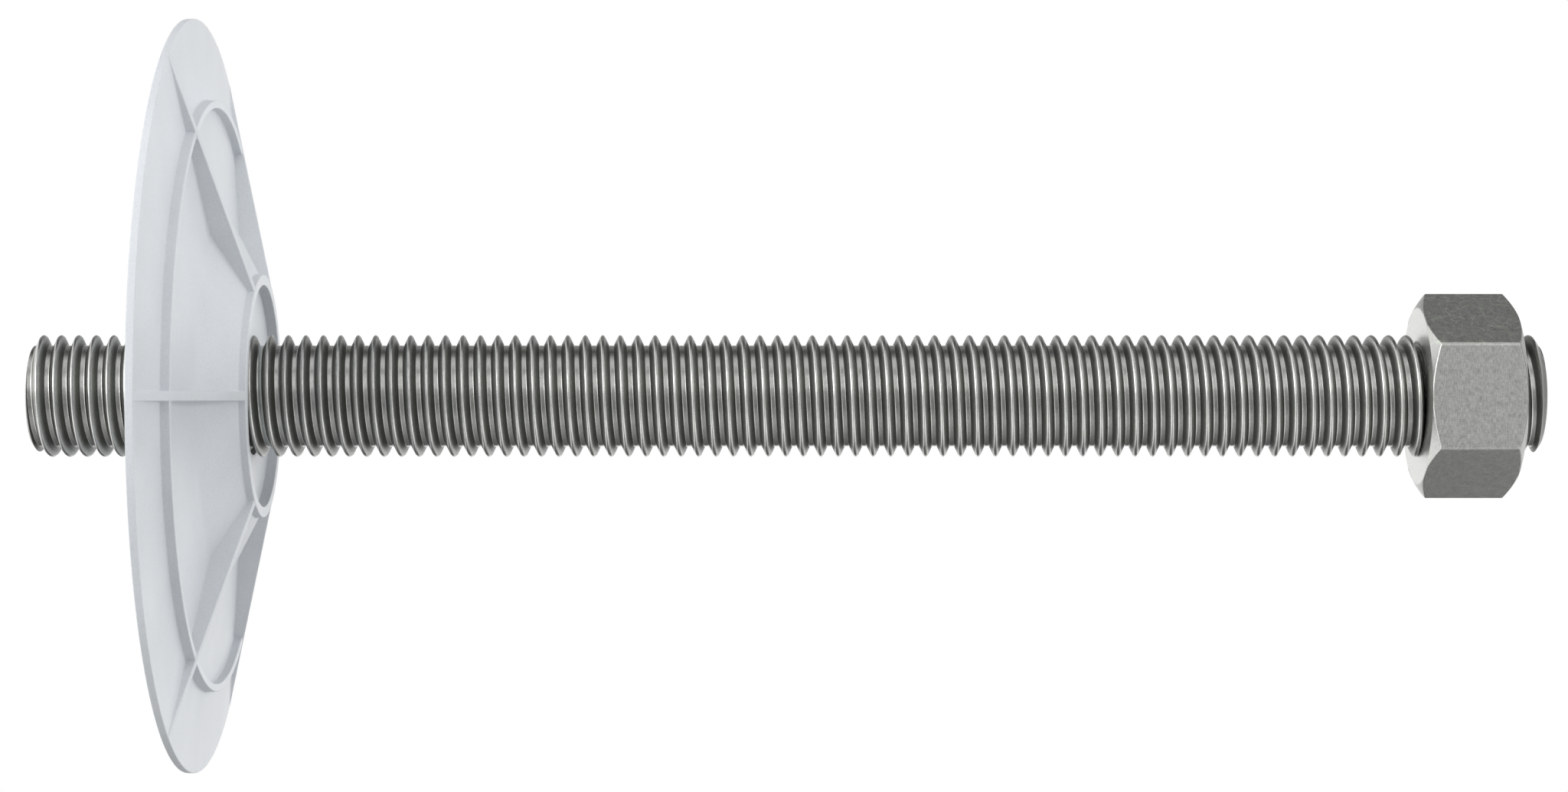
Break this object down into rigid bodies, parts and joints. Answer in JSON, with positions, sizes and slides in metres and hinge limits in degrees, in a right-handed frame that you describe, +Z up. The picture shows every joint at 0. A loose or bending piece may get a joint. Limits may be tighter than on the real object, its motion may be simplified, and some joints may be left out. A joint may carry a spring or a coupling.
{
  "type": "bridge cap anchor",
  "caption": "Stainless threaded rod with a hex nut at its head and a ribbed plastic sealing disc on the thread, which ties a bridge's edge cap to its deck.",
  "frame": {"origin": "on the rod's axis, in the plane at the back of the disc's rim that lies on the bridge deck", "axes": "+X along the rod from the stub to the nut, +Z up, -Y towards the camera, as in the picture"},
  "size_m": [0.295, 0.1474, 0.1474],
  "materials": {
    "rod_steel": "bright stainless, rolled thread with fine drawn lines",
    "nut_steel": "satin stainless, fine brushing on the flats and turned chamfers",
    "disc_plastic": "moulded, matt, pale cool grey with a very fine grain"
  },
  "bodies": {
    "rod": {"threaded_rod": "rod_steel"},
    "nut": {"hex_nut": "nut_steel"},
    "disc": {"cap_disc": "disc_plastic"}
  },
  "joints": [
    {"name": "nut_travel", "type": "slide", "parent": "rod", "child": "nut", "axis": [1, 0, 0], "range_m": [-0.1475, 0.0034]},
    {"name": "disc_travel", "type": "slide", "parent": "rod", "child": "disc", "axis": [1, 0, 0], "range_m": [-0.0274, 0.0617]}
  ]
}
